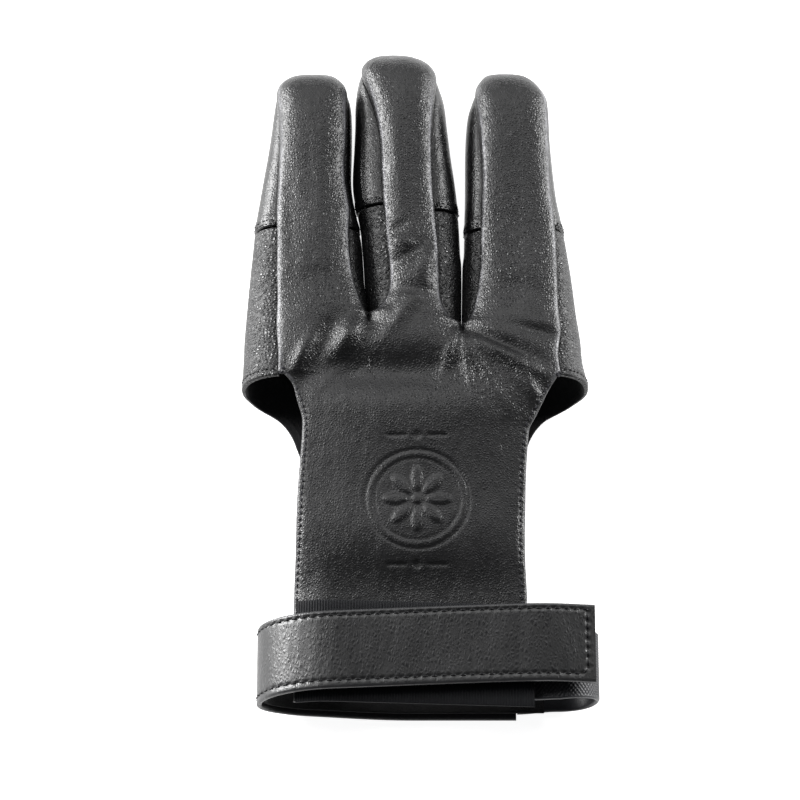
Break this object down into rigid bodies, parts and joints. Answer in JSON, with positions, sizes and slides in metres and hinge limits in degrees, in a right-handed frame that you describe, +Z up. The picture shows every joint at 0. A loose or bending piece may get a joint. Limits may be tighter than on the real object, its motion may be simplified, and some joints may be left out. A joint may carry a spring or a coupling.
{
  "type": "archery glove",
  "caption": "Leather archery glove with stalls for the drawing fingers, a long back tongue and a touch-fastening wrist strap; it spares the fingertips the bowstring.",
  "frame": {"origin": "on the flat underside of the palm leather, midway between its sides and level with the mouth of the stalls", "axes": "+Y towards the fingertips, +X towards the ring finger, +Z up through the back of the glove"},
  "size_m": [0.1037, 0.2092, 0.0275],
  "materials": {
    "smooth_leather": "smooth, softly shining, with fine creases",
    "grained_leather": "pebbled, with a soft shine",
    "tip_leather": "firm, finely grained",
    "strap_leather": "pebbled, with rolled edges",
    "ribbed_tape": "ribbed",
    "woven_elastic": "coarsely woven",
    "loop_tape": "matt and fuzzy"
  },
  "bodies": {
    "root": {"back_panel": "smooth_leather", "palm_panel": "grained_leather", "index_tip": "tip_leather", "middle_tip": "tip_leather", "ring_tip": "tip_leather", "base_strip": "ribbed_tape", "elastic_web": "woven_elastic", "strap_leather": "strap_leather", "strap_lining": "loop_tape"}
  },
  "joints": []
}
